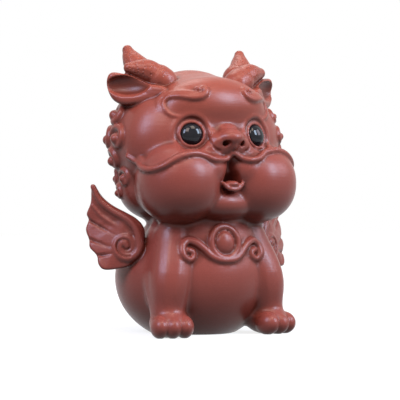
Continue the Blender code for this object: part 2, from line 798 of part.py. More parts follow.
def socket_bit():
    """A flat-ended round bit that sinks an eye's socket. It points along its own Z."""
    bit = bmesh.new()
    radius = EYE_RADIUS + GLUE_GAP
    depth = 0.008
    place = Matrix.Translation((0, 0, depth / 2 - EYE_BACK - GLUE_GAP))
    bmesh.ops.create_cone(
        bit, cap_ends=True, segments=28, radius1=radius, radius2=radius, depth=depth, matrix=place
    )
    mesh = bpy.data.meshes.new("socket_bit")
    bit.to_mesh(mesh)
    bit.free()
    return mesh


def eye_dome():
    """A round glass dome with a flat back."""
    dome = bmesh.new()
    bmesh.ops.create_uvsphere(dome, u_segments=24, v_segments=14, radius=1.0)
    bmesh.ops.scale(dome, vec=(EYE_RADIUS, EYE_RADIUS, EYE_DOME), verts=dome.verts)
    back = (0, 0, -EYE_BACK)
    geometry = [*dome.verts, *dome.edges, *dome.faces]
    cut_off = bmesh.ops.bisect_plane(
        dome, geom=geometry, plane_co=back, plane_no=(0, 0, -1), clear_outer=True
    )
    rim = [edge for edge in cut_off["geom_cut"] if isinstance(edge, bmesh.types.BMEdge)]
    bmesh.ops.contextual_create(dome, geom=rim)
    mesh = bpy.data.meshes.new("eye_dome")
    dome.to_mesh(mesh)
    dome.free()
    mesh.shade_smooth()
    return mesh


def make_figure():
    forms = legs_and_jowls(big_forms())
    eye_dishes(forms)
    press(forms, MOUTH_PLACE, MOUTH_RADII, (0, 1, 0))
    press(forms, LIP_CLEFT_PLACE, LIP_CLEFT_RADII, (0, 1, 0))
    tree = tree_of(forms)
    clay = bmesh.new()
    toes(clay)
    horns(clay)
    ears(clay)
    wings(clay)
    eyelids(clay, tree)
    brows(clay, tree)
    moustache(clay, tree)
    lip_and_tongue(clay)
    ornament(clay, tree)
    mane(clay, tree)
    figure = skin(clay, "clay_lion", FINE_GRAIN, 2, forms)
    work(figure)
    return thinned(figure, FIGURE_FACES), eye_seat(tree)


def main():
    start_clean()
    parts = make_group("tea_pet")
    cutters = make_group("cutters")
    figure, (seat, normal) = make_figure()
    bpy.context.scene.collection.objects.unlink(figure)
    parts.objects.link(figure)
    figure.data.materials.append(make_material("purple_clay", CLAY_COLOUR, CLAY_ROUGHNESS))
    figure.data.shade_smooth()
    inside = hollow()
    cut(figure, "floor_cut", floor_block(), cutters)
    cut(figure, "hollow_cut", inside.data, cutters)
    bpy.data.objects.remove(inside)
    cut(figure, "vent_cut", vent_pin(), cutters)
    glass = make_material("black_glass", GLASS_COLOUR, GLASS_ROUGHNESS)
    bit = socket_bit()
    dome = eye_dome()
    dome.materials.append(glass)
    for name, side in (("left", 1), ("right", -1)):
        place = Vector((seat.x * side, seat.y, seat.z))
        way = Vector((normal.x * side, normal.y, normal.z))
        turn = way.to_track_quat("Z", "Y")
        socket = cut(figure, f"{name}_socket_cut", bit, cutters)
        eye = put(f"{name}_eye", dome, parts)
        for thing in (socket, eye):
            thing.rotation_mode = "QUATERNION"
            thing.rotation_quaternion = turn
            thing.location = place + way * EYE_PROUD


main()
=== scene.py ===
"""Tea pet: the look of a seated winged lion of purple clay with two black glass eyes.

The figure faces -Y, its own left is +X, and it stands on z = 0. Values are in metres. It is modelled
as its maker would: big forms first, then rolls, balls and plates of clay laid on them, each stage
drawn under one skin, and last the tool marks that are pressed and scored into it.
"""

import math

import bmesh
import bpy
import numpy as np
from bpy.props import FloatProperty, FloatVectorProperty, IntProperty, PointerProperty
from mathutils import Euler, Matrix, Vector
from mathutils.bvhtree import BVHTree


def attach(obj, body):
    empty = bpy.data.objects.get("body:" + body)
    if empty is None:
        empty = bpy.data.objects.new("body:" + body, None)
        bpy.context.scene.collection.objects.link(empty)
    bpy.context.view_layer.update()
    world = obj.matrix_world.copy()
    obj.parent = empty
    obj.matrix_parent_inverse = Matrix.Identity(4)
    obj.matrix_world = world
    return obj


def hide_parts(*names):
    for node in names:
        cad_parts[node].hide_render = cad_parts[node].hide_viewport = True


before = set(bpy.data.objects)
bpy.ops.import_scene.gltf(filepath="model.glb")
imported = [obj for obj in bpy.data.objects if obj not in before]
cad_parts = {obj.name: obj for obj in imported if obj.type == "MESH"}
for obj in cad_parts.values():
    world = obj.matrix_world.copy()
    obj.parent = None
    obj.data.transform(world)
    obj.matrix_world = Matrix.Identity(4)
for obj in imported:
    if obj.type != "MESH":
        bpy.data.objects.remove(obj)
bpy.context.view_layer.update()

bl_info = {
    "name": "Clay Lion Tea Pet",
    "version": (1, 0, 0),
    "blender": (4, 5, 0),
    "location": "3D View > Sidebar > Tea Pet",
    "description": "Models a seated winged lion of purple clay with black glass eyes",
    "category": "Object",
}

# Head
SKULL = ((0.0, 0.0033, 0.0675), (0.0308, 0.0193, 0.0252))
FOREHEAD = ((0.0, -0.0052, 0.0802), (0.0205, 0.0116, 0.0112))
CROWN = ((0.0, 0.0105, 0.0750), (0.0220, 0.0160, 0.0198))
MANE_MASS = ((0.0, 0.0105, 0.0685), (0.0315, 0.0198, 0.0245))
NAPE = ((0.0150, 0.0090, 0.0525), (0.0140, 0.0140, 0.0125))
MUZZLE = ((0.0, -0.0085, 0.0665), (0.0150, 0.0130, 0.0070))
JOWL = ((0.0150, -0.0076, 0.0535), (0.0147, 0.0160, 0.0142))
JOWL_FULLNESS = 2.2
JOWL_TURN_DEG = 12.0
CHEEK = ((0.0078, -0.0118, 0.0580), (0.0086, 0.0100, 0.0082))
CHEEK_TURN = (0.0, 24.0, 0.0)
CHIN = ((0.0, -0.0105, 0.0462), (0.0130, 0.0098, 0.0062))
MOUTH_TOOLS = (
    ((0.0, -0.0215, 0.0543), (0.0033, 0.0050, 0.0070)),
    ((0.0, -0.0215, 0.0585), (0.0015, 0.0060, 0.0060)),
)
NOSE_BULB = ((-0.0003, -0.0182, 0.0690), (0.0050, 0.0056, 0.0034))
NOSE_WING = ((0.0044, -0.0162, 0.0678), (0.0030, 0.0044, 0.0029))
NOSE_BRIDGE = ((0.0, -0.0142, 0.0712), (0.0048, 0.0042, 0.0022))
SEPTUM = ((-0.0003, -0.0196, 0.0664), (0.0018, 0.0032, 0.0022))

# Body and front legs
NECK = ((0.0, 0.0020, 0.0420), (0.0180, 0.0150, 0.0080))
CHEST = ((0.0, -0.0015, 0.0310), (0.0195, 0.0150, 0.0155))
BELLY = ((0.0, 0.0040, 0.0195), (0.0245, 0.0225, 0.0225))
RUMP = ((0.0, 0.0090, 0.0195), (0.0288, 0.0262, 0.0235))
SHOULDER = (0.0142, -0.0035, 0.0335)
ELBOW = (0.0185, -0.0088, 0.0200)
ANKLE = (0.0200, -0.0095, 0.0095)
LEG_RADII = (0.0080, 0.0078, 0.0058)
LEG_DEPTHS = (0.0050, 0.0050, 0.0015)
PAW = ((0.0197, -0.0098, 0.0048), (0.0070, 0.0088, 0.0052))
PAW_SPLAY_DEG = 15.0
TOE_RADII = (0.0033, 0.0050, 0.0040)
TOE_SPACING = 0.0043
TOE_REACHES = (0.0044, 0.0051, 0.0044)
TOE_DROP = 0.0010

# Horns
HORN_LINE = (
    (0.0140, 0.0030, 0.0885), (0.0182, 0.0043, 0.0916),
    (0.0216, 0.0052, 0.0934), (0.0268, 0.0068, 0.0941),
)
HORN_RADII = (0.0045, 0.0045, 0.0041, 0.0021)
PRONG_LINE = (
    (0.0192, 0.0100, 0.0918), (0.0215, 0.0120, 0.0954),
    (0.0226, 0.0142, 0.0986), (0.0232, 0.0155, 0.1012),
)
PRONG_RADII = (0.0056, 0.0045, 0.0032, 0.0019)
# The collar is a band this far along the first stretch of a horn
COLLAR_PLACE = 0.45
COLLAR_RADIUS = 0.0052
COLLAR_WIDTH = 0.0016

# Ears, each drawn in an upright plane that leans back from the root
EAR_ROOT = (0.0195, -0.0013)
EAR_BEARING_DEG = 44.0
EAR_OUTLINE = (
    (-0.0030, 0.0872), (0.0040, 0.0884), (0.0092, 0.0908), (0.0136, 0.0922), (0.0171, 0.0924),
    (0.0186, 0.0900), (0.0182, 0.0863), (0.0163, 0.0828), (0.0128, 0.0810), (0.0080, 0.0810),
    (0.0020, 0.0822), (-0.0030, 0.0840),
)
EAR_THICKNESS = 0.0050
EAR_HOLLOW_CENTRE = (0.0106, 0.0878)
EAR_HOLLOW_RADII = (0.0084, 0.0040, 0.0038)
EAR_TOOL_LIFT = 0.0006

# Wings, each drawn in an upright sheet that leans back from the root, and less so low down
WING_ROOT = (0.0215, 0.0005)
WING_BEARING_DEG = 40.0
WING_TWIST_DEG = 15.0
WING_TWIST_HEIGHT = 0.0400
WING_TWIST_SPAN = 0.0170
WING_THICKNESS = 0.0032
WING_FACING_HEIGHT = 0.0300
WING_OUTLINE = (
    (0.0207, 0.0535), (0.0178, 0.0489), (0.0140, 0.0457), (0.0090, 0.0431), (0.0056, 0.0412),
    (0.0031, 0.0387), (0.0022, 0.0358), (0.0026, 0.0318), (0.0045, 0.0272), (0.0076, 0.0244),
    (0.0120, 0.0233), (0.0165, 0.0231), (0.0184, 0.0250), (0.0190, 0.0280), (0.0216, 0.0308),
    (0.0219, 0.0334), (0.0233, 0.0371), (0.0224, 0.0405), (0.0231, 0.0427), (0.0216, 0.0466),
    (0.0214, 0.0512),
)
WING_EDGE = (
    (0.0206, 0.0522), (0.0181, 0.0474), (0.0137, 0.0438), (0.0095, 0.0415), (0.0064, 0.0393),
    (0.0046, 0.0366),
)
WING_EDGE_RADIUS = 0.0017
SCROLL_CENTRE = (0.0086, 0.0314)
SCROLL_RADIUS = 0.0050
SCROLL_END_RADIUS = 0.0012
SCROLL_TURNS = 1.5
SCROLL_FILL = SCROLL_RADIUS * 0.85
SCROLL_FILL_HEIGHT = 0.0013
SCROLL_GROOVE_RADII = (SCROLL_RADIUS * 0.72, 0.0008)
SCROLL_GROOVE_WIDTH = 0.0004
SCROLL_GROOVE_DEPTH = 0.0006
WING_BAND = ((0.0210, 0.0456), (0.0171, 0.0416), (0.0120, 0.0382), (0.0080, 0.0362), (0.0060, 0.0352))
WING_BAND_RADII = (0.0005, 0.0008, 0.0009, 0.0008, 0.0004)
FEATHER_LINES = (
    ((0.0224, 0.0406), (0.0181, 0.0382), (0.0145, 0.0362), (0.0109, 0.0345)),
    ((0.0216, 0.0337), (0.0183, 0.0325), (0.0153, 0.0313), (0.0121, 0.0312)),
    ((0.0190, 0.0280), (0.0158, 0.0283), (0.0128, 0.0287)),
)
FEATHER_LINE_WIDTH = 0.00055
FEATHER_LINE_DEPTH = 0.0007

# Face
NOSTRIL = ((0.0033, -0.0236, 0.0670), (0.0014, 0.0012, 0.0052))
NOSE_CREASE_CENTRE = (0.0046, 0.0678)
NOSE_CREASE_RADII = (0.0034, 0.0033)
NOSE_CREASE_DEG = (60.0, -80.0)
NOSE_CREASE_WIDTH = 0.0005
NOSE_CREASE_DEPTH = 0.0004
EYE_PLACE = (0.0127, 0.0702)
EYE_OUTWARD_DEG = 19.5
EYE_UPWARD_DEG = 12.0
EYE_BACK = 0.0010
EYE_PROUD = 0.0006
EYE_CLEARANCE = 0.0001
EYELID_RADIUS = 0.0044
# The two rolls of an eyelid: how far each stands off the seat, and its radius
EYELID_ROLLS = ((0.0008, 0.00050), (0.0001, 0.000575))
EYE_DISH_RADII = (0.0074, 0.0074, 0.0040)
EYE_DISH_DEPTH = 0.0012
# Rings drawn round each eye: radius, width and depth, where a depth below 0 raises a ridge
EYE_RINGS = ((0.0054, 0.0006, 0.00045), (0.0068, 0.0009, -0.00025))
BROW = (
    (0.0072, 0.0868), (0.0066, 0.0856), (0.0074, 0.0838), (0.0086, 0.0829), (0.0099, 0.0823),
    (0.0122, 0.0820), (0.0139, 0.0822), (0.0163, 0.0826), (0.0182, 0.0825), (0.0192, 0.0816),
    (0.0197, 0.0804), (0.0195, 0.0789), (0.0186, 0.0777), (0.0169, 0.0773),
)
BROW_RADIUS = 0.0010
BROW_SWELL_RADIUS = 0.0026
BROW_KNOB = ((0.0101, 0.0859), 0.0012)
MOUSTACHE_RIGHT = (
    (1.0, 0.0641), (4.0, 0.0629), (10.5, 0.0613), (21.0, 0.0613), (29.3, 0.0624),
    (36.6, 0.0632), (44.3, 0.0625), (50.8, 0.0607), (56.0, 0.0588), (64.4, 0.0577),
    (73.9, 0.0584), (84.5, 0.0606), (93.0, 0.0628),
)
MOUSTACHE_LEFT = (
    (1.0, 0.0641), (4.4, 0.0634), (11.6, 0.0618), (17.1, 0.0612), (25.7, 0.0618),
    (34.7, 0.0635), (45.0, 0.0645), (54.0, 0.0641), (61.0, 0.0622), (67.0, 0.0598),
    (74.0, 0.0584), (84.5, 0.0598), (93.0, 0.0624),
)
MOUSTACHE_RADIUS = 0.0011
SWELL_RADIUS = 0.0021
SWELL_RISE = 0.0013
SWELL_SINK = 0.0018
LOWER_LIP = ((0.0037, 0.0531), (0.0024, 0.0517), (0.0, 0.0511), (-0.0024, 0.0517), (-0.0037, 0.0531))
LIP_RADIUS = 0.0008
LIP_FRONT = -0.0206
TONGUE = ((0.0, -0.0188, 0.0530), (0.0028, 0.0028, 0.0013))

# Mane: rows of snail curls, each with its height, curl size and foremost bearing
MANE_ROWS = (
    (0.0850, 0.0042, 113.0),
    (0.0772, 0.0050, 100.0),
    (0.0690, 0.0050, 96.0),
    (0.0615, 0.0046, 98.0),
    (0.0550, 0.0038, 100.0),
    (0.0500, 0.0032, 102.0),
)
MANE_STEP_DEG = 19.0
CURL_TURNS = 0.80
CURL_START_DEG = 20.0
# On its own left the mane comes one curl further forward: the bearing, height and size of each
FORWARD_CURLS = ((87.0, 0.0775, 0.0034), (85.0, 0.0705, 0.0038), (86.0, 0.0640, 0.0036))

# Chest ornament
GARLAND = (
    (0.0000, 0.0264), (0.0028, 0.0267), (0.0054, 0.0280), (0.0076, 0.0304), (0.0100, 0.0325),
    (0.0126, 0.0332), (0.0151, 0.0316), (0.0156, 0.0287), (0.0137, 0.0268), (0.0116, 0.0276),
    (0.0115, 0.0293), (0.0128, 0.0299),
)
GARLAND_RADIUS = 0.0012
MEDALLION_CENTRE = (-0.0010, 0.0326)
MEDALLION_RADIUS = 0.0052
BEAD_RADII = (0.0034, 0.0041, 0.0019)

# Hollow inside, and the vent hole under the foot
WALL = 0.0052
VENT_RADIUS = 0.0060
VENT_Y = 0.0105

# How the clay is worked
COARSE_GRAIN = 0.0012
MIDDLE_GRAIN = 0.0008
NOSE_GRAIN = 0.00055
HOLLOW_GRAIN = 0.0022
ROLL_SIDES = 12
RING_STEPS = 40
# An egg of clay is one step finer for each of these radii that it is over
EGG_FINENESS_LIMITS = (0.0012, 0.0040, 0.0120)
# How far rolls of clay sink into what they lie on, or stand off it
HAIR = 0.0002
# How far out the rays start that look for the skin
PROBE_REACH = 0.1
PROBE_LIFT = 0.006
WING_PROBE_LIFT = 0.008
# The bend of the skin that counts as a whole crease, and how far round a point it is felt
WHOLE_CREASE = 0.0004
CREASE_ROUNDS = 12
FLOOR_BLOCK_SIZE = 0.1
SOCKET_DRILL_LENGTH = 0.008

# Where the crown's warmth and the horns' pits begin
CROWN_HEIGHTS = (0.060, 0.098)
PIT_HEIGHTS = (0.0905, 0.0915)
PIT_SIDES = (0.0155, 0.0165)

# The floor glows faintly up to the first of these distances, and fully from the second
SHADOW_REACH = (0.05, 0.30)

# Soft boxes round the figure: name, bearing (90 at its left side), height in degrees, watts, size and colour
LAMPS = (
    ("window_lamp", 34.0, 33.0, 5.0, (0.18, 0.30), (0.62, 0.78, 1.0)),
    ("left_lamp", 64.0, 28.0, 1.3, (0.22, 0.26), (0.95, 0.84, 1.0)),
    ("front_lamp", 5.0, 64.0, 1.7, (0.22, 0.26), (1.0, 0.80, 0.66)),
    ("side_lamp", -80.0, 34.0, 3.6, (0.20, 0.26), (0.60, 0.70, 1.0)),
    ("right_lamp", -50.0, 46.0, 1.9, (0.22, 0.26), (1.0, 0.82, 0.76)),
    ("back_lamp", 172.0, 62.0, 1.0, (0.30, 0.30), (1.0, 0.95, 0.90)),
)
LAMP_DISTANCE = 0.60
LAMP_AIM_HEIGHT = 0.05


class TeaPetClay(bpy.types.PropertyGroup):
    grain: FloatProperty(
        name="Grain",
        description="How fine the clay's skin is",
        default=0.00040,
        min=0.0003,
        precision=5,
        unit="LENGTH",
    )
    triangles: IntProperty(
        name="Triangles",
        description="About how many triangles the finished figure has",
        default=190000,
    )
    colour: FloatVectorProperty(
        name="Clay",
        description="Colour of the fired clay",
        default=(0.200, 0.043, 0.030, 1.0),
        size=4,
        subtype="COLOR",
    )
    # Dark colour of the fine specks, and of the painted shade in the creases and under what looks down
    speck_and_shade_colour: FloatVectorProperty(
        name="Creases",
        description="Colour of the deep creases",
        default=(0.060, 0.008, 0.003, 1.0),
        size=4,
        subtype="COLOR",
    )
    # This colour is mixed in towards the top by height alone, warmer and lighter than the clay
    crown_colour: FloatVectorProperty(
        name="Crown",
        description="Colour of the warmer clay on top",
        default=(0.245, 0.050, 0.026, 1.0),
        size=4,
        subtype="COLOR",
    )
    roughness: FloatProperty(
        name="Roughness",
        description="Roughness of the rubbed clay",
        default=0.32,
        min=0.0,
        max=1.0,
        subtype="FACTOR",
    )


class TeaPetGlass(bpy.types.PropertyGroup):
    radius: FloatProperty(
        name="Radius",
        description="Radius of a glass eye",
        default=0.0038,
        precision=4,
        unit="LENGTH",
    )
    dome: FloatProperty(
        name="Dome",
        description="How high the dome stands over its seat",
        default=0.0021,
        precision=4,
        unit="LENGTH",
    )
    colour: FloatVectorProperty(
        name="Glass",
        description="Colour of the black glass",
        default=(0.004, 0.004, 0.006, 1.0),
        size=4,
        subtype="COLOR",
    )
    cloud_colour: FloatVectorProperty(
        name="Clouds",
        description="Colour of the faint clouds in the glass",
        default=(0.010, 0.009, 0.010, 1.0),
        size=4,
        subtype="COLOR",
    )
    roughness: FloatProperty(
        name="Roughness",
        description="Roughness of the glass",
        default=0.04,
        min=0.0,
        max=1.0,
        subtype="FACTOR",
    )


class TeaPetStage(bpy.types.PropertyGroup):
    azimuth: FloatProperty(
        name="Azimuth",
        description="Bearing of the camera",
        default=math.radians(-29.0),
        subtype="ANGLE",
    )
    elevation: FloatProperty(
        name="Elevation",
        description="Height of the camera as an angle",
        default=0.0,
        subtype="ANGLE",
    )
    distance: FloatProperty(
        name="Distance",
        description="From the camera to the figure's axis",
        default=0.60,
        unit="LENGTH",
    )
    width: FloatProperty(
        name="View width",
        description="Width that the view takes in at the figure",
        default=0.1428,
        unit="LENGTH",
    )
    aim_height: FloatProperty(
        name="Aim",
        description="Height of the view's middle",
        default=0.0475,
        precision=4,
        unit="LENGTH",
    )
    aim_side: FloatProperty(
        name="Aside",
        description="How far right of the axis the view's middle is",
        default=-0.0018,
        precision=4,
        unit="LENGTH",
    )
    floor_colour: FloatVectorProperty(
        name="Floor",
        description="Colour of the floor",
        default=(0.22, 0.22, 0.22, 1.0),
        size=4,
        subtype="COLOR",
    )
    floor_glow: FloatProperty(
        name="Floor glow",
        description="How brightly the floor is seen to glow beside the figure",
        default=0.82,
    )
    lamp_power: FloatProperty(
        name="Lamps",
        description="How strong all the lamps are",
        default=1.0,
    )
    sky: FloatProperty(
        name="Sky",
        description="Strength of the light from all sides",
        default=0.05,
    )


def put(name, mesh):
    thing = bpy.data.objects.new(name, mesh)
    bpy.context.scene.collection.objects.link(thing)
    return thing


def to_mesh(shape, name):
    mesh = bpy.data.meshes.new(name)
    shape.to_mesh(mesh)
    shape.free()
    return mesh


def settle(thing):
    """Replaces the object's mesh with what its modifiers make of it."""
    graph = bpy.context.evaluated_depsgraph_get()
    shaped = bpy.data.meshes.new_from_object(thing.evaluated_get(graph))
    thing.modifiers.clear()
    thing.data = shaped
    return thing


def lay(clay, shape, both):
    """Lays a shape on the clay, and its mirror image if both."""
    mesh = to_mesh(shape, "laid")
    clay.from_mesh(mesh)
    if both:
        mesh.transform(Matrix.Diagonal((-1, 1, 1, 1)))
        mesh.flip_normals()
        clay.from_mesh(mesh)
    bpy.data.meshes.remove(mesh)


def lump(clay, centre, radii, turn=(0.0, 0.0, 0.0), fullness=2.0, both=False):
    """Adds one egg of clay. A fullness above 2 makes it squarer."""
    egg = bmesh.new()
    fineness = 2 + sum(max(radii) > limit for limit in EGG_FINENESS_LIMITS)
    bmesh.ops.create_icosphere(egg, subdivisions=fineness, radius=1.0)
    if fullness != 2.0:
        for vert in egg.verts:
            vert.co /= sum(abs(c) ** fullness for c in vert.co) ** (1 / fullness)
    angles = Euler([math.radians(a) for a in turn])
    place = Matrix.LocRotScale(Vector(centre), angles, Vector(radii))
    bmesh.ops.transform(egg, matrix=place, verts=egg.verts)
    lay(clay, egg, both)


def bead(clay, centre, radii, normal, both=False):
    """Adds an egg whose third radius lies along the normal."""
    egg = bmesh.new()
    turn = Vector(normal).to_track_quat("Z", "Y")
    place = Matrix.LocRotScale(Vector(centre), turn, Vector(radii))
    bmesh.ops.create_icosphere(egg, subdivisions=4 if max(radii) > 0.0025 else 3, radius=1.0, matrix=place)
    lay(clay, egg, both)


def path_places(points, radii):
    """A place for each ring of a roll: its turn follows the path without twisting."""
    ways = [(b - a).normalized() for a, b in zip(points[:-1], points[1:])]
    ways = [ways[0], *[(a + b).normalized() for a, b in zip(ways[:-1], ways[1:])], ways[-1]]
    turn = ways[0].to_track_quat("Z", "Y")
    places = []
    for k, (point, radius) in enumerate(zip(points, radii)):
        if k:
            turn = ways[k - 1].rotation_difference(ways[k]) @ turn
        places.append(Matrix.LocRotScale(point, turn, (radius, radius, radius)))
    return places


def roll(clay, points, radii, both=True):
    """Adds a tapered roll of clay with round ends along the points."""
    points = [Vector(p) for p in points]
    places = path_places(points, radii)
    tube = bmesh.new()
    ring = bmesh.ops.create_circle(tube, cap_ends=True, segments=ROLL_SIDES, radius=1.0)["verts"]
    bmesh.ops.transform(tube, matrix=places[0], verts=ring)
    edges = tube.edges[:]
    for before, after in zip(places[:-1], places[1:]):
        made = bmesh.ops.extrude_edge_only(tube, edges=edges)["geom"]
        ring = [part for part in made if isinstance(part, bmesh.types.BMVert)]
        edges = [part for part in made if isinstance(part, bmesh.types.BMEdge) and part.is_boundary]
        bmesh.ops.transform(tube, matrix=after @ before.inverted(), verts=ring)
    bmesh.ops.contextual_create(tube, geom=edges)
    bmesh.ops.recalc_face_normals(tube, faces=tube.faces)
    lay(clay, tube, both)
    for end in (0, -1):
        lump(clay, points[end], (radii[end],) * 3, both=both)


def plate(clay, outline, thickness, place):
    """Adds a flat plate of clay with rounded edges, cut along a closed outline, and its mirror image."""
    slab = bmesh.new()
    line = smooth_line([(*p, -thickness / 2) for p in (*outline, outline[0])], 91)[:-1]
    rim = [slab.verts.new(p) for p in line]
    edges = [slab.edges.new((a, b)) for a, b in zip(rim, rim[1:] + rim[:1])]
    back = bmesh.ops.contextual_create(slab, geom=edges)["faces"]
    made = bmesh.ops.extrude_face_region(slab, geom=back)["geom"]
    front_rim = [part for part in made if isinstance(part, bmesh.types.BMVert)]
    bmesh.ops.translate(slab, vec=(0, 0, thickness), verts=front_rim)
    bmesh.ops.recalc_face_normals(slab, faces=slab.faces)
    corners = [edge for edge in slab.edges if edge.calc_face_angle(0) > math.radians(60)]
    bmesh.ops.bevel(
        slab,
        geom=corners,
        offset=thickness * 0.3,
        segments=4,
        profile=0.5,
        affect="EDGES",
        material=-1,
    )
    for vert in slab.verts:
        vert.co = place(*vert.co)
    bmesh.ops.recalc_face_normals(slab, faces=slab.faces)
    lay(clay, slab, True)


def smooth_line(points, count):
    """Even steps along a smooth curve through the given points."""
    p = [Vector(q) for q in points]
    p = [2 * p[0] - p[1], *p, 2 * p[-1] - p[-2]]
    spans = len(p) - 3
    line = []
    for k in range(count):
        s = k / (count - 1) * spans
        i = min(int(s), spans - 1)
        t = s - i
        a, b, c, d = p[i : i + 4]
        bend = (2 * a - 5 * b + 4 * c - d) * t * t + (3 * b - a - 3 * c + d) * t**3
        line.append(0.5 * (2 * b + (c - a) * t + bend))
    return line


def smooth_values(values, count):
    """Even steps along a smooth curve through the given values."""
    return [p.x for p in smooth_line([(v, 0.0, 0.0) for v in values], count)]


def soft_roll(clay, points, radii, count, both=True):
    """Adds a roll whose line and radii run smoothly through the given ones in this many steps."""
    roll(clay, smooth_line(points, count), smooth_values(radii, count), both)


def skin(clay, name, grain, rounds, core=None):
    """Joins the clay, and the core if there is one, under one skin and smooths it."""
    if core:
        clay.from_mesh(core.data)
        bpy.data.objects.remove(core)
    thing = put(name, to_mesh(clay, name))
    remesh = thing.modifiers.new("skin", "REMESH")
    remesh.mode = "VOXEL"
    remesh.voxel_size = grain
    smooth = thing.modifiers.new("smooth", "SMOOTH")
    smooth.factor = 0.5
    smooth.iterations = rounds
    return settle(thing)


def tree_of(thing):
    clay = bmesh.new()
    clay.from_mesh(thing.data)
    tree = BVHTree.FromBMesh(clay)
    clay.free()
    return tree


def way_to(bearing, height=0.0):
    """The way outward at this bearing (0 in front, a quarter turn at the left side) and this height."""
    level = math.cos(height)
    return Vector((math.sin(bearing) * level, -math.cos(bearing) * level, math.sin(height)))


def front(tree, x, z, proud=0.0):
    """The place on the front of the figure at this x and height, and its normal."""
    place, normal = tree.ray_cast(Vector((x, -PROBE_REACH, z)), Vector((0, 1, 0)))[:2]
    return place + normal * proud, normal


def around(tree, bearing, z, proud=0.0):
    """The place on the outside at this bearing in degrees and this height, and its normal."""
    way = way_to(math.radians(bearing))
    place, normal = tree.ray_cast(Vector((0, 0, z)) + way * PROBE_REACH, -way)[:2]
    return place + normal * proud, normal


def read_points(thing, kind="co"):
    values = np.empty(len(thing.data.vertices) * 3)
    thing.data.vertices.foreach_get(kind, values)
    return values.reshape(-1, 3)


def write_points(thing, points):
    thing.data.vertices.foreach_set("co", points.ravel())
    thing.data.update()


def press(figure, centre, radii, way, both=True):
    """Pushes an egg-shaped tool into the skin along the way, and its mirror image if both.

    Its radii lie across the way, up, and along the way.
    """
    spots = read_points(figure)
    angles = np.array(Vector(way).to_track_quat("Z", "Y").to_matrix())
    for side in (1, -1) if both else (1,):
        flip = np.array((side, 1, 1))
        local = ((spots * flip - centre) @ angles) / radii
        push = (np.array(way) @ angles) / radii
        within = np.flatnonzero((local**2).sum(axis=1) < 1)
        a = push @ push
        b = local[within] @ push
        c = (local[within] ** 2).sum(axis=1) - 1
        travel = (-b + np.sqrt(b * b - a * c)) / a
        spots[within] += travel[:, None] * np.array(way) * flip
    write_points(figure, spots)


def score(figure, line, width, depth, both=True):
    """Draws a groove along the line, or a ridge if the depth is negative, and its mirror image if both."""
    spots = read_points(figure)
    normals = read_points(figure, "normal")
    line = np.array([tuple(p) for p in line])
    for side in (1, -1) if both else (1,):
        path = line * np.array((side, 1, 1))
        low, high = path.min(axis=0) - 3 * width, path.max(axis=0) + 3 * width
        near = np.flatnonzero(((spots > low) & (spots < high)).all(axis=1))
        gap = np.full(len(near), np.inf)
        for a, b in zip(path[:-1], path[1:]):
            span = b - a
            t = np.clip((spots[near] - a) @ span / (span @ span), 0, 1)
            gap = np.minimum(gap, np.linalg.norm(spots[near] - a - t[:, None] * span, axis=1))
        spots[near] -= normals[near] * (depth * np.exp(-((gap / width) ** 2)))[:, None]
    write_points(figure, spots)


def big_forms():
    clay = bmesh.new()
    for form in (SKULL, FOREHEAD, CROWN, MANE_MASS, MUZZLE, NECK, CHEST, BELLY, RUMP):
        lump(clay, *form)
    lump(clay, *NAPE, both=True)
    return skin(clay, "forms", COARSE_GRAIN, 16)


def legs_and_jowls(thing):
    clay = bmesh.new()
    lump(clay, *JOWL, (0, 0, JOWL_TURN_DEG), JOWL_FULLNESS, both=True)
    lump(clay, *CHEEK, CHEEK_TURN, both=True)
    lump(clay, *CHIN)
    # A leg is deeper than it is wide: two rolls, one behind the other
    leg = (SHOULDER, ELBOW, ANKLE)
    for behind in ((0.0, 0.0, 0.0), LEG_DEPTHS):
        line = [(x, y + back, z) for (x, y, z), back in zip(leg, behind)]
        soft_roll(clay, line, LEG_RADII, 9)
    lump(clay, *PAW, (0, 0, PAW_SPLAY_DEG), both=True)
    return skin(clay, "forms", MIDDLE_GRAIN, 7, thing)


def nose(thing):
    """Lays the nose on, once the dishes and the mouth are pressed."""
    clay = bmesh.new()
    lump(clay, *NOSE_BULB)
    for side in (1, -1):
        (x, y, z), radii = NOSE_WING
        lump(clay, (NOSE_BULB[0][0] + x * side, y, z), radii)
    lump(clay, *NOSE_BRIDGE, (-20, 0, 0))
    lump(clay, *SEPTUM)
    return skin(clay, "forms", NOSE_GRAIN, 3, thing)


def toes(clay):
    turn = Matrix.Rotation(math.radians(PAW_SPLAY_DEG), 3, "Z")
    for k, reach in zip((-1, 0, 1), TOE_REACHES):
        place = Vector(PAW[0]) + turn @ Vector((k * TOE_SPACING, -reach, -TOE_DROP))
        lump(clay, place, TOE_RADII, (0, 0, PAW_SPLAY_DEG), both=True)


def horns(clay):
    soft_roll(clay, HORN_LINE, HORN_RADII, 16)
    soft_roll(clay, PRONG_LINE, PRONG_RADII, 16)
    base, next_point = Vector(HORN_LINE[0]), Vector(HORN_LINE[1])
    along = (next_point - base).normalized()
    collar = [base.lerp(next_point, COLLAR_PLACE) + along * (COLLAR_WIDTH * t) for t in (-0.5, 0.5)]
    roll(clay, collar, [COLLAR_RADIUS] * 2)


def on_sheet(root, bearing_deg, out, height, ahead):
    """The place this far out along an upright sheet, at this height, and this far in front of it."""
    a = math.radians(bearing_deg)
    x = root[0] + out * math.cos(a) + ahead * math.sin(a)
    y = root[1] + out * math.sin(a) - ahead * math.cos(a)
    return Vector((x, y, height))


def ear_point(out, height, ahead=0.0):
    return on_sheet(EAR_ROOT, EAR_BEARING_DEG, out, height, ahead)


def wing_point(out, height, ahead=0.0):
    """The sheet of a wing turns less far back low down."""
    drop = max(0.0, WING_TWIST_HEIGHT - height) / WING_TWIST_SPAN
    return on_sheet(WING_ROOT, WING_BEARING_DEG - WING_TWIST_DEG * drop**1.4, out, height, ahead)


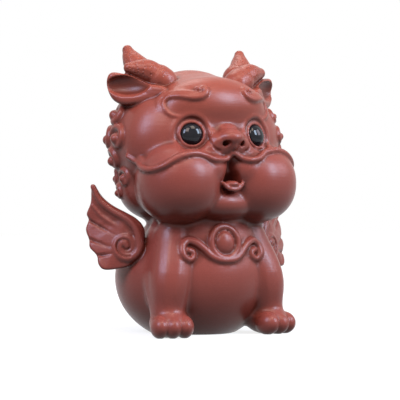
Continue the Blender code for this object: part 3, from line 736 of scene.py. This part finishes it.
def wing_ahead():
    """The way that the front of the left wing faces."""
    return wing_point(0, WING_FACING_HEIGHT, 1) - wing_point(0, WING_FACING_HEIGHT)


def scroll(centre, start, end, turns, first_deg, count):
    """Points along a flat spiral whose radius goes evenly from the start to the end."""
    points = []
    for k in range(count):
        t = k / (count - 1)
        a = math.radians(first_deg + 360 * turns * t)
        r = start + (end - start) * t
        points.append((centre[0] + r * math.cos(a), centre[1] + r * math.sin(a)))
    return points


def wings(clay):
    plate(clay, WING_OUTLINE, WING_THICKNESS, wing_point)
    front_face = WING_THICKNESS / 2
    edge = list(WING_EDGE) + scroll(SCROLL_CENTRE, SCROLL_RADIUS, SCROLL_END_RADIUS, SCROLL_TURNS, 165, 22)
    path = [wing_point(u, z, front_face - HAIR) for u, z in edge]
    r = WING_EDGE_RADIUS
    soft_roll(clay, path, [r * 0.6, r * 0.85, r, r, r * 0.9, r * 0.75, r * 0.6, r * 0.5], 120)
    centre = wing_point(*SCROLL_CENTRE, front_face)
    bead(clay, centre, (SCROLL_FILL, SCROLL_FILL, SCROLL_FILL_HEIGHT), wing_ahead(), both=True)
    band = [wing_point(u, z, front_face - HAIR) for u, z in WING_BAND]
    soft_roll(clay, band, WING_BAND_RADII, 30)


def eye_seat(tree, side):
    """The middle of an eye's seat and the way that the eye looks. Side is 1 on the left, -1 on the right."""
    x, z = EYE_PLACE
    normal = way_to(math.radians(EYE_OUTWARD_DEG * side), math.radians(EYE_UPWARD_DEG))
    return front(tree, x * side, z)[0], normal


def eye_dishes(forms):
    """Sinks a shallow dish round each eye."""
    tree = tree_of(forms)
    for side in (1, -1):
        centre, normal = eye_seat(tree, side)
        tool = centre + normal * (EYE_DISH_RADII[2] - EYE_DISH_DEPTH)
        press(forms, tool, EYE_DISH_RADII, -normal, both=False)


def ring_points(centre, normal, radius):
    turn = normal.to_track_quat("Z", "Y")
    points = []
    for k in range(RING_STEPS + 1):
        a = 2 * math.pi * k / RING_STEPS
        points.append(centre + turn @ Vector((radius * math.cos(a), radius * math.sin(a), 0)))
    return points


def eyelids(clay, seat, normal):
    for proud, radius in EYELID_ROLLS:
        ring = ring_points(seat + normal * proud, normal, EYELID_RADIUS)
        roll(clay, ring, [radius] * len(ring), both=False)


def beside(line, away):
    """A flat line that keeps this far to the right of the line."""
    moved = []
    for k, (x, z) in enumerate(line):
        before, after = line[max(k - 1, 0)], line[min(k + 1, len(line) - 1)]
        way = Vector((after[0] - before[0], after[1] - before[1])).normalized()
        moved.append((x + way.y * away, z - way.x * away))
    return moved


def brows(clay, tree):
    """Each brow is a crisp roll with a broad swelling on its outer side, and a knob at its inner end."""
    r = BROW_RADIUS
    line = [front(tree, x, z, -0.0001)[0] for x, z in beside(BROW, -r * 0.9)]
    soft_roll(clay, line, [r * 1.2, r * 1.2, r * 1.2, r * 1.1, r, r * 0.8, r * 0.5], 80)
    r = BROW_SWELL_RADIUS
    line = [front(tree, x, z, -r * 0.72)[0] for x, z in beside(BROW[2:], -r * 0.75)]
    soft_roll(clay, line, [r * 0.8, r, r, r * 0.9, r * 0.5], 60)
    (x, z), size = BROW_KNOB
    centre, normal = front(tree, x, z)
    bead(clay, centre, (size, size, size * 1.1), normal, both=True)


def moustache(clay, tree):
    """Each half is a crisp roll with a broad soft one above and behind it."""
    r = MOUSTACHE_RADIUS
    radii = [r * 0.8, r, r, r * 1.1, r, r, r * 0.8]
    for side, route in ((-1, MOUSTACHE_RIGHT), (1, MOUSTACHE_LEFT)):
        line = [around(tree, b * side, z, 0.0004)[0] for b, z in route]
        soft_roll(clay, line, radii, 90, both=False)
        line = [around(tree, b * side, z + SWELL_RISE, -SWELL_SINK)[0] for b, z in route[2:]]
        roll(clay, smooth_line(line, 90), [SWELL_RADIUS] * 90, both=False)


def mouth(clay):
    lip = [Vector((x, LIP_FRONT + abs(x) * 0.15, z)) for x, z in LOWER_LIP]
    roll(clay, smooth_line(lip, 24), [LIP_RADIUS] * 24, both=False)
    lump(clay, *TONGUE)


def ornament(clay, tree):
    r = GARLAND_RADIUS
    for side in (1, -1):
        line = [front(tree, MEDALLION_CENTRE[0] + x * side, z, HAIR)[0] for x, z in GARLAND]
        soft_roll(clay, line, [r, r, r * 1.1, r * 1.1, r, r * 0.9, r], 110, both=False)
    ring = []
    for k in range(49):
        a = 2 * math.pi * k / 48
        x = MEDALLION_CENTRE[0] + MEDALLION_RADIUS * math.sin(a)
        z = MEDALLION_CENTRE[1] + MEDALLION_RADIUS * 1.05 * math.cos(a)
        ring.append(front(tree, x, z, 0.0001)[0])
    roll(clay, ring, [r] * 49, both=False)
    centre, normal = front(tree, *MEDALLION_CENTRE)
    bead(clay, centre - normal * HAIR, BEAD_RADII, normal)


def curl(clay, tree, bearing, z, size, both):
    """Adds a snail curl of the mane, and its mirror image if both."""
    centre, normal = around(tree, bearing, z)
    side = Vector((0, 0, 1)).cross(normal).normalized()
    rise = normal.cross(side)
    line = []
    for k in range(22):
        t = k / 21
        a = math.radians(CURL_START_DEG) + 2 * math.pi * CURL_TURNS * t
        r = size * (1 - 0.66 * t)
        probe = centre + side * (r * math.cos(a)) + rise * (r * math.sin(a)) + normal * PROBE_LIFT
        hit, hit_normal = tree.ray_cast(probe, -normal)[:2]
        line.append((hit if hit else centre) + (hit_normal if hit else normal) * HAIR)
    soft_roll(clay, line, [size * 0.16, size * 0.27, size * 0.27, size * 0.22], 48, both)
    bead(clay, centre + normal * HAIR, (size * 0.44, size * 0.44, size * 0.52), normal, both)


def mane(clay, tree):
    for row, (z, size, first) in enumerate(MANE_ROWS):
        steps = int((180 - first) / MANE_STEP_DEG + 0.5)
        for k in range(steps + 1):
            bearing = 180 - MANE_STEP_DEG * (k + 0.5 * (row % 2))
            if bearing >= first:
                curl(clay, tree, bearing, z, size, both=bearing < 180)
    for bearing, z, size in FORWARD_CURLS:
        curl(clay, tree, bearing, z, size, both=False)


def draw_eye_rings(figure, seats):
    tree = tree_of(figure)
    for seat, normal in seats:
        for radius, width, depth in EYE_RINGS:
            ring = ring_points(seat + normal * PROBE_LIFT, normal, radius)
            hits = [tree.ray_cast(point, -normal)[0] for point in ring]
            score(figure, [hit for hit in hits if hit], width, depth, both=False)


def work(figure, seats):
    """Presses and scores what is drawn into the clay."""
    draw_eye_rings(figure, seats)
    u, z = EAR_HOLLOW_CENTRE
    into = ear_point(0, 0, -1) - ear_point(0, 0)
    press(figure, ear_point(u, z, EAR_THICKNESS / 2 + EAR_TOOL_LIFT), EAR_HOLLOW_RADII, into)
    press(figure, *NOSTRIL, (0, 1, 0))
    tree = tree_of(figure)
    first, last = NOSE_CREASE_DEG
    crease = []
    for k in range(16):
        a = math.radians(first + (last - first) * k / 15)
        x = NOSE_CREASE_CENTRE[0] + NOSE_CREASE_RADII[0] * math.cos(a)
        z = NOSE_CREASE_CENTRE[1] + NOSE_CREASE_RADII[1] * math.sin(a)
        crease.append(front(tree, x, z)[0])
    score(figure, crease, NOSE_CREASE_WIDTH, NOSE_CREASE_DEPTH)
    tree = tree_of(figure)
    turns = scroll(SCROLL_CENTRE, *SCROLL_GROOVE_RADII, 1.25, 250, 30)
    hits = [tree.ray_cast(wing_point(u, z, WING_PROBE_LIFT), -wing_ahead())[0] for u, z in turns]
    score(figure, [hit for hit in hits if hit], SCROLL_GROOVE_WIDTH, SCROLL_GROOVE_DEPTH)
    for line in FEATHER_LINES:
        places = [wing_point(u, z, WING_THICKNESS / 2) for u, z in line]
        score(figure, smooth_line(places, 16), FEATHER_LINE_WIDTH, FEATHER_LINE_DEPTH)


def thinned(thing, faces):
    """Leaves about this many triangles, the most where the skin bends the most."""
    thing.data.transform(Matrix.Scale(1000, 4))
    triangles = sum(len(face.vertices) - 2 for face in thing.data.polygons)
    decimate = thing.modifiers.new("thin", "DECIMATE")
    decimate.ratio = faces / triangles
    decimate.use_collapse_triangulate = True
    settle(thing)
    thing.data.transform(Matrix.Scale(0.001, 4))


def cut(thing, mesh):
    """Cuts the mesh out of the thing."""
    cutter = put("cutter", mesh)
    knife = thing.modifiers.new("cut", "BOOLEAN")
    knife.operation = "DIFFERENCE"
    knife.solver = "EXACT"
    knife.object = cutter
    settle(thing)
    bpy.data.objects.remove(cutter)


def floor_block():
    block = bmesh.new()
    place = Matrix.Translation((0, 0, -FLOOR_BLOCK_SIZE / 2))
    bmesh.ops.create_cube(block, size=FLOOR_BLOCK_SIZE, matrix=place)
    return to_mesh(block, "floor_block")


def hollow():
    """The hollow inside the pressed clay, one wall in from the big forms."""
    clay = bmesh.new()
    for centre, radii in (SKULL, CROWN, NECK, CHEST, BELLY, RUMP):
        lump(clay, centre, [r - WALL for r in radii])
    inner_neck = min(NECK[1][1], CHEST[1][1]) - WALL
    roll(clay, [CHEST[0], SKULL[0]], [inner_neck, inner_neck], both=False)
    return skin(clay, "hollow", HOLLOW_GRAIN, 4)


def drill(name, place, radius, length, segments):
    """A round bar for cutting, along the z of its place."""
    bar = bmesh.new()
    bmesh.ops.create_cone(
        bar, cap_ends=True, segments=segments, radius1=radius, radius2=radius, depth=length, matrix=place
    )
    return to_mesh(bar, name)


def vent_drill():
    return drill("vent_drill", Matrix.Translation((0, VENT_Y, 0)), VENT_RADIUS, 4 * WALL, 48)


def socket_drill(seat, normal, radius):
    reach = SOCKET_DRILL_LENGTH / 2 - EYE_BACK - EYE_CLEARANCE + EYE_PROUD
    place = Matrix.LocRotScale(seat + normal * reach, normal.to_track_quat("Z", "Y"), None)
    return drill("socket_drill", place, radius, SOCKET_DRILL_LENGTH, 64)


def mark_creases(thing):
    """Keeps on each point how deep in a crease (above 0) or how far out on a ridge (below 0) it lies."""
    mesh = thing.data
    points = read_points(thing)
    normals = read_points(thing, "normal")
    ends = np.empty(len(mesh.edges) * 2, dtype=np.int64)
    mesh.edges.foreach_get("vertices", ends)
    a, b = ends.reshape(-1, 2).T
    count = np.bincount(a, minlength=len(points)) + np.bincount(b, minlength=len(points))

    def spread(values):
        return np.bincount(a, values[b], len(points)) + np.bincount(b, values[a], len(points))

    smooth_points = points.copy()
    for _ in range(CREASE_ROUNDS):
        smooth_points = np.stack([spread(smooth_points[:, k]) / count for k in range(3)], axis=1)
    bend = ((smooth_points - points) * normals).sum(axis=1)
    for _ in range(2):
        bend = 0.5 * bend + 0.5 * spread(bend) / count
    layer = mesh.attributes.new("crease", "FLOAT", "POINT")
    layer.data.foreach_set("value", (bend / WHOLE_CREASE).astype(np.float32))


class Nodes:
    """A small helper that adds and joins a material's nodes."""

    def __init__(self, name):
        self.material = bpy.data.materials.new(name)
        self.material.use_nodes = True
        self.tree = self.material.node_tree
        self.shader = self.tree.nodes["Principled BSDF"]

    def add(self, kind, **settings):
        node = self.tree.nodes.new(kind)
        for key, value in settings.items():
            setattr(node, key, value)
        return node

    def join(self, socket, target):
        self.tree.links.new(socket, target)

    def noise(self, coordinates, scale, detail=3.0):
        node = self.add("ShaderNodeTexNoise")
        node.inputs["Scale"].default_value = scale
        node.inputs["Detail"].default_value = detail
        node.inputs["Roughness"].default_value = 0.55
        self.join(coordinates, node.inputs["Vector"])
        return node.outputs["Fac"]

    def ramp(self, value, low, high, to_low=0.0, to_high=1.0):
        node = self.add("ShaderNodeMapRange")
        node.inputs["From Min"].default_value = low
        node.inputs["From Max"].default_value = high
        node.inputs["To Min"].default_value = to_low
        node.inputs["To Max"].default_value = to_high
        self.join(value, node.inputs["Value"])
        return node.outputs["Result"]

    def maths(self, operation, first, second):
        node = self.add("ShaderNodeMath", operation=operation)
        for socket, value in zip(node.inputs, (first, second)):
            if isinstance(value, float):
                socket.default_value = value
            else:
                self.join(value, socket)
        return node.outputs[0]

    def mix(self, factor, first, second):
        node = self.add("ShaderNodeMix", data_type="RGBA")
        for name, value in (("Factor_Float", factor), ("A_Color", first), ("B_Color", second)):
            socket = next(s for s in node.inputs if s.identifier == name)
            if isinstance(value, (float, tuple)):
                socket.default_value = value
            else:
                self.join(value, socket)
        return next(s for s in node.outputs if s.identifier == "Result_Color")


def clay_material(settings):
    nodes = Nodes("purple_clay_look")
    place = nodes.add("ShaderNodeTexCoord").outputs["Object"]
    split = nodes.add("ShaderNodeSeparateXYZ")
    nodes.join(place, split.inputs[0])
    crease = nodes.add("ShaderNodeAttribute", attribute_name="crease").outputs["Fac"]
    clay = tuple(settings.colour)
    # Warmer and lighter towards the top, with soft clouds and fine dark specks, and painted shade darkening
    # the creases
    height = nodes.ramp(split.outputs["Z"], *CROWN_HEIGHTS)
    cloud = nodes.noise(place, 70.0)
    warm = nodes.maths("MULTIPLY", height, nodes.ramp(cloud, 0.3, 0.7, 0.5, 1.0))
    colour = nodes.mix(warm, clay, tuple(settings.crown_colour))
    speck = nodes.noise(place, 2600.0, 2.0)
    colour = nodes.mix(nodes.ramp(speck, 0.35, 0.65, 0.0, 0.16), colour, tuple(settings.speck_and_shade_colour))
    # Painted shade: the creases are darkened, where shade falls in them
    deep = nodes.ramp(crease, 0.06, 0.70, 0.0, 0.75)
    colour = nodes.mix(deep, colour, tuple(settings.speck_and_shade_colour))
    # Painted shade: what looks down is darkened, where shade falls under it
    facing = nodes.add("ShaderNodeSeparateXYZ")
    nodes.join(nodes.add("ShaderNodeNewGeometry").outputs["Normal"], facing.inputs[0])
    under = nodes.ramp(facing.outputs["Z"], -0.80, 0.20, 0.78, 0.0)
    colour = nodes.mix(under, colour, tuple(settings.speck_and_shade_colour))
    nodes.join(colour, nodes.shader.inputs["Base Color"])
    rough = nodes.ramp(speck, 0.3, 0.7, settings.roughness - 0.04, settings.roughness + 0.06)
    nodes.join(rough, nodes.shader.inputs["Roughness"])
    nodes.shader.inputs["Specular IOR Level"].default_value = 0.23
    # Pits pricked into the horns
    pits = nodes.add("ShaderNodeTexVoronoi")
    pits.inputs["Scale"].default_value = 820.0
    nodes.join(place, pits.inputs["Vector"])
    pit = nodes.ramp(pits.outputs["Distance"], 0.22, 0.42, 1.0, 0.0)
    aside = nodes.maths("ABSOLUTE", split.outputs["X"], 0.0)
    high = nodes.ramp(split.outputs["Z"], *PIT_HEIGHTS)
    on_horn = nodes.maths("MULTIPLY", nodes.ramp(aside, *PIT_SIDES), high)
    pit = nodes.maths("MULTIPLY", pit, on_horn)
    # Fine level tool lines, and the clay's own grain
    stretch = nodes.add("ShaderNodeMapping")
    stretch.inputs["Scale"].default_value = (110.0, 110.0, 2400.0)
    nodes.join(place, stretch.inputs["Vector"])
    lines = nodes.noise(stretch.outputs["Vector"], 1.0, 2.0)
    grain = nodes.noise(place, 3200.0, 3.0)
    relief = nodes.maths("ADD", lines, nodes.maths("MULTIPLY", grain, 0.6))
    relief = nodes.maths("SUBTRACT", relief, nodes.maths("MULTIPLY", pit, 6.0))
    bump = nodes.add("ShaderNodeBump")
    bump.inputs["Strength"].default_value = 0.45
    bump.inputs["Distance"].default_value = 0.00008
    nodes.join(relief, bump.inputs["Height"])
    nodes.join(bump.outputs["Normal"], nodes.shader.inputs["Normal"])
    return nodes.material


def glass_material(settings):
    nodes = Nodes("black_glass_look")
    place = nodes.add("ShaderNodeTexCoord").outputs["Object"]
    cloud = nodes.noise(place, 400.0)
    colour = nodes.mix(nodes.ramp(cloud, 0.3, 0.7), tuple(settings.colour), tuple(settings.cloud_colour))
    nodes.join(colour, nodes.shader.inputs["Base Color"])
    nodes.shader.inputs["Roughness"].default_value = settings.roughness
    nodes.shader.inputs["Specular IOR Level"].default_value = 0.22
    return nodes.material


class TEAPET_OT_figure(bpy.types.Operator):
    """Models the clay figure"""

    bl_idname = "teapet.figure"
    bl_label = "Clay Figure"

    def execute(self, context):
        settings = context.scene.teapet_clay
        forms = legs_and_jowls(big_forms())
        eye_dishes(forms)
        for tool in MOUTH_TOOLS:
            press(forms, *tool, (0, 1, 0))
        tree = tree_of(forms)
        seats = {side: eye_seat(tree, side) for side in (1, -1)}
        forms = nose(forms)
        tree = tree_of(forms)
        clay = bmesh.new()
        toes(clay)
        horns(clay)
        plate(clay, EAR_OUTLINE, EAR_THICKNESS, ear_point)
        wings(clay)
        for seat in seats.values():
            eyelids(clay, *seat)
        brows(clay, tree)
        moustache(clay, tree)
        mouth(clay)
        ornament(clay, tree)
        mane(clay, tree)
        figure = skin(clay, "clay_figure", settings.grain, 2, forms)
        work(figure, seats.values())
        thinned(figure, settings.triangles)
        inside = hollow()
        cut(figure, floor_block())
        cut(figure, inside.data)
        bpy.data.objects.remove(inside)
        cut(figure, vent_drill())
        radius = context.scene.teapet_glass.radius + EYE_CLEARANCE
        for seat in seats.values():
            cut(figure, socket_drill(*seat, radius))
        mark_creases(figure)
        figure.data.shade_smooth()
        figure.data.materials.clear()
        figure.data.materials.append(clay_material(settings))
        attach(figure, "root")
        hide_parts("clay_lion")
        context.scene["eye_seats"] = [c for side in (1, -1) for part in seats[side] for c in part]
        return {"FINISHED"}


class TEAPET_OT_eyes(bpy.types.Operator):
    """Models the two glass eyes"""

    bl_idname = "teapet.eyes"
    bl_label = "Glass Eyes"

    def execute(self, context):
        settings = context.scene.teapet_glass
        seats = list(context.scene["eye_seats"])
        glass = glass_material(settings)
        for name, first in (("left", 0), ("right", 6)):
            seat = Vector(seats[first : first + 3])
            normal = Vector(seats[first + 3 : first + 6])
            dome = bmesh.new()
            bmesh.ops.create_uvsphere(dome, u_segments=64, v_segments=40, radius=1.0)
            bmesh.ops.scale(dome, vec=(settings.radius, settings.radius, settings.dome), verts=dome.verts)
            cut_off = bmesh.ops.bisect_plane(
                dome,
                geom=[*dome.verts, *dome.edges, *dome.faces],
                plane_co=(0, 0, -EYE_BACK),
                plane_no=(0, 0, -1),
                clear_outer=True,
            )
            rim = [part for part in cut_off["geom_cut"] if isinstance(part, bmesh.types.BMEdge)]
            bmesh.ops.contextual_create(dome, geom=rim)
            turn = Matrix.LocRotScale(seat + normal * EYE_PROUD, normal.to_track_quat("Z", "Y"), None)
            bmesh.ops.transform(dome, matrix=turn, verts=dome.verts)
            eye = put(f"{name}_glass_eye", to_mesh(dome, f"{name}_glass_eye"))
            eye.data.shade_smooth()
            eye.data.materials.append(glass)
            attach(eye, "root")
            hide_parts(f"{name}_eye")
        return {"FINISHED"}


def plainly_seen(tree):
    """1 where a camera, gloss or glass looks, and 0 for the light that reaches the figure."""
    rays = tree.nodes.new("ShaderNodeLightPath")
    seen = rays.outputs["Is Camera Ray"]
    for name in ("Is Glossy Ray", "Is Transmission Ray"):
        either = tree.nodes.new("ShaderNodeMath")
        either.operation = "MAXIMUM"
        tree.links.new(seen, either.inputs[0])
        tree.links.new(rays.outputs[name], either.inputs[1])
        seen = either.outputs[0]
    return seen


def white_world(strength):
    """Light of this strength from all sides, and plain white where cameras, gloss or glass look."""
    world = bpy.data.worlds.new("sky")
    world.use_nodes = True
    tree = world.node_tree
    level = tree.nodes.new("ShaderNodeMapRange")
    level.inputs["To Min"].default_value = strength
    level.inputs["To Max"].default_value = 1.0
    tree.links.new(plainly_seen(tree), level.inputs["Value"])
    sky = tree.nodes["Background"]
    sky.inputs["Color"].default_value = (1.0, 1.0, 1.0, 1.0)
    tree.links.new(level.outputs["Result"], sky.inputs["Strength"])
    return world


def lamp(name, bearing_deg, height_deg, power, size, colour):
    """A soft box at this bearing and height as an angle, that faces the middle of the figure."""
    light = bpy.data.lights.new(name, "AREA")
    light.shape = "RECTANGLE"
    light.size, light.size_y = size
    light.energy = power
    light.color = colour
    way = way_to(math.radians(bearing_deg), math.radians(height_deg))
    thing = put(name, light)
    thing.location = Vector((0, 0, LAMP_AIM_HEIGHT)) + way * LAMP_DISTANCE
    thing.rotation_euler = (-way).to_track_quat("-Z", "Y").to_euler()


class TEAPET_OT_stage(bpy.types.Operator):
    """Sets the floor, the lamps and the camera"""

    bl_idname = "teapet.stage"
    bl_label = "Stage"

    def execute(self, context):
        scene = context.scene
        settings = scene.teapet_stage
        ground = bmesh.new()
        bmesh.ops.create_grid(ground, x_segments=1, y_segments=1, size=1.5)
        floor = put("floor", to_mesh(ground, "floor"))
        paint = Nodes("floor_look")
        paint.shader.inputs["Base Color"].default_value = settings.floor_colour
        paint.shader.inputs["Roughness"].default_value = 1.0
        paint.shader.inputs["Specular IOR Level"].default_value = 0.0
        # Cameras, gloss and glass see the floor glow, faintly near the figure so that its shadow shows
        away = paint.add("ShaderNodeVectorMath", operation="LENGTH")
        paint.join(paint.add("ShaderNodeTexCoord").outputs["Object"], away.inputs[0])
        glow = paint.ramp(away.outputs["Value"], *SHADOW_REACH, settings.floor_glow, 1.0)
        glow = paint.maths("MULTIPLY", plainly_seen(paint.tree), glow)
        paint.shader.inputs["Emission Color"].default_value = (1.0, 1.0, 1.0, 1.0)
        paint.join(glow, paint.shader.inputs["Emission Strength"])
        floor.data.materials.append(paint.material)
        scene.world = white_world(settings.sky)
        right = Vector((math.cos(settings.azimuth), math.sin(settings.azimuth), 0))
        back = way_to(settings.azimuth, settings.elevation)
        aim = right * settings.aim_side + Vector((0, 0, 1)) * settings.aim_height
        lens = bpy.data.cameras.new("camera")
        lens.sensor_width = 36.0
        lens.lens = 36.0 * settings.distance / settings.width
        lens.clip_start = 0.01
        camera = put("camera", lens)
        camera.location = aim + back * settings.distance
        camera.rotation_euler = (-back).to_track_quat("-Z", "Y").to_euler()
        scene.camera = camera
        scene.view_settings.view_transform = "Standard"
        for name, bearing_deg, height_deg, power, size, colour in LAMPS:
            lamp(name, bearing_deg, height_deg, power * settings.lamp_power, size, colour)
        return {"FINISHED"}


class TEAPET_PT_panel(bpy.types.Panel):
    bl_label = "Tea Pet"
    bl_idname = "TEAPET_PT_panel"
    bl_space_type = "VIEW_3D"
    bl_region_type = "UI"
    bl_category = "Tea Pet"

    def draw(self, context):
        scene = context.scene
        for settings, operator in (
            (scene.teapet_clay, "teapet.figure"),
            (scene.teapet_glass, "teapet.eyes"),
            (scene.teapet_stage, "teapet.stage"),
        ):
            box = self.layout.box()
            for name in settings.__annotations__:
                box.prop(settings, name)
            box.operator(operator)


GROUPS = (("teapet_clay", TeaPetClay), ("teapet_glass", TeaPetGlass), ("teapet_stage", TeaPetStage))
CLASSES = (
    *(group for _, group in GROUPS),
    TEAPET_OT_figure,
    TEAPET_OT_eyes,
    TEAPET_OT_stage,
    TEAPET_PT_panel,
)


def register():
    for kind in CLASSES:
        bpy.utils.register_class(kind)
    for name, group in GROUPS:
        setattr(bpy.types.Scene, name, PointerProperty(type=group))


def unregister():
    for name, _ in GROUPS:
        delattr(bpy.types.Scene, name)
    for kind in reversed(CLASSES):
        bpy.utils.unregister_class(kind)


def main():
    register()
    bpy.ops.teapet.figure()
    bpy.ops.teapet.eyes()
    bpy.ops.teapet.stage()


if __name__ == "__main__":
    main()
